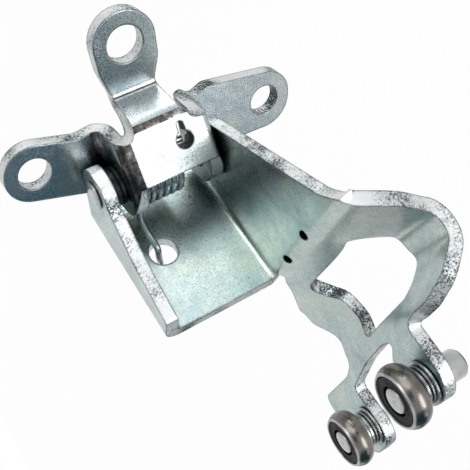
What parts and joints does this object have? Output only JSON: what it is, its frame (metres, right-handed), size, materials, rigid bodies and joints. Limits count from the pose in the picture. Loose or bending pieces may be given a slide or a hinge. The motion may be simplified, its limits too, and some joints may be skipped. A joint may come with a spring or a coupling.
{
  "type": "sliding door hinge",
  "caption": "Sprung sliding door hinge: pressed three-ear bracket, folded gooseneck arm on a pin, and two crowned ball bearing rollers on studs.",
  "frame": {"origin": "on the back of the third ear, on flat metal beside its hole", "axes": "+Y out of the backs of the three ears towards the door, +Z along the hinge pin, +X towards the third ear"},
  "size_m": [0.1559, 0.1147, 0.102],
  "materials": {
    "zinc_bracket": "zinc plated pressed steel",
    "zinc_arm": "zinc plated pressed steel",
    "zinc_pin": "zinc plated turned steel",
    "bronze_bush": "sintered bronze",
    "spring_wire": "zinc plated spring wire",
    "bearing_steel": "polished bearing steel",
    "cage_steel": "pressed steel",
    "seal_rubber": "black moulded rubber"
  },
  "bodies": {
    "bracket": {"door_bracket": "zinc_bracket", "upper_bush": "bronze_bush", "lower_bush": "bronze_bush"},
    "arm": {"hinge_arm": "zinc_arm", "hinge_pin": "zinc_pin", "pin_washer": "zinc_pin", "large_stud": "zinc_pin", "small_stud": "zinc_pin", "large_inner_ring": "bearing_steel", "small_inner_ring": "bearing_steel", "torsion_spring": "spring_wire"},
    "large_roller": {"large_outer_ring": "bearing_steel", "large_front_seal": "seal_rubber", "large_back_seal": "seal_rubber"},
    "large_ball_cage": {"large_cage": "cage_steel", "large_ball_1": "bearing_steel", "large_ball_2": "bearing_steel", "large_ball_3": "bearing_steel", "large_ball_4": "bearing_steel", "large_ball_5": "bearing_steel", "large_ball_6": "bearing_steel", "large_ball_7": "bearing_steel"},
    "small_roller": {"small_outer_ring": "bearing_steel", "small_front_seal": "seal_rubber", "small_back_seal": "seal_rubber"},
    "small_ball_cage": {"small_cage": "cage_steel", "small_ball_1": "bearing_steel", "small_ball_2": "bearing_steel", "small_ball_3": "bearing_steel", "small_ball_4": "bearing_steel", "small_ball_5": "bearing_steel", "small_ball_6": "bearing_steel", "small_ball_7": "bearing_steel"}
  },
  "joints": [
    {"name": "arm_swing", "type": "hinge", "parent": "bracket", "child": "arm", "pos_m": [-0.0285, -0.013, 0], "axis": [0, 0, 1], "range_deg": [0, 40], "stiffness_Nm_per_rad": 0.25, "springref_deg": -34.38, "deforming": ["torsion_spring"]},
    {"name": "large_roller_spin", "type": "hinge", "parent": "arm", "child": "large_roller", "pos_m": [-0.06865, -0.10453, -0.0238], "axis": [0, 0, 1], "continuous": true},
    {"name": "large_cage_spin", "type": "hinge", "parent": "arm", "child": "large_ball_cage", "pos_m": [-0.06865, -0.10453, -0.0238], "axis": [0, 0, 1], "continuous": true},
    {"name": "small_roller_spin", "type": "hinge", "parent": "arm", "child": "small_roller", "pos_m": [-0.11827, -0.08022, -0.0238], "axis": [0, 0, 1], "continuous": true},
    {"name": "small_cage_spin", "type": "hinge", "parent": "arm", "child": "small_ball_cage", "pos_m": [-0.11827, -0.08022, -0.0238], "axis": [0, 0, 1], "continuous": true}
  ],
  "couplings": [
    {"joint": "large_cage_spin", "follows": "large_roller_spin", "ratio": 0.6128},
    {"joint": "small_cage_spin", "follows": "small_roller_spin", "ratio": 0.6128}
  ]
}
